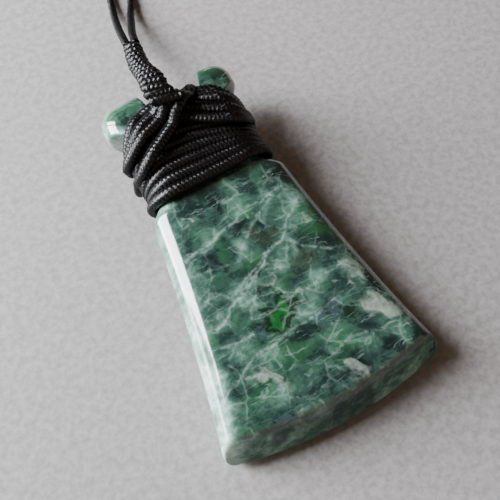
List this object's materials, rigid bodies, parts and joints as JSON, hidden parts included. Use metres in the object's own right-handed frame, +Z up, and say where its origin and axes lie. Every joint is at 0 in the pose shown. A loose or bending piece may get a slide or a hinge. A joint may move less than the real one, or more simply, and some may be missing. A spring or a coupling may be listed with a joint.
{
  "type": "pendant",
  "caption": "Polished green stone adze pendant (toki) with notched head, bound with braided black cord and hung on a long cord loop that is laid folded above it.",
  "frame": {"origin": "on the floor under the middle of the bound stone and its neck binding, without the neck cord", "axes": "+Y from the blade to the head, +X to the right as seen from the front, +Z up, out of the stone's front"},
  "size_m": [0.0282, 0.12, 0.0131],
  "materials": {
    "green_stone": "polished mottled green nephrite, opaque",
    "black_cord": "waxed braid with a dull shine"
  },
  "bodies": {
    "root": {"toki_blade": "green_stone", "waist_binding": "black_cord", "left_shoulder_binding": "black_cord", "right_shoulder_binding": "black_cord", "crossing_turn": "black_cord", "neck_binding": "black_cord", "neck_cord": "black_cord"}
  },
  "joints": []
}
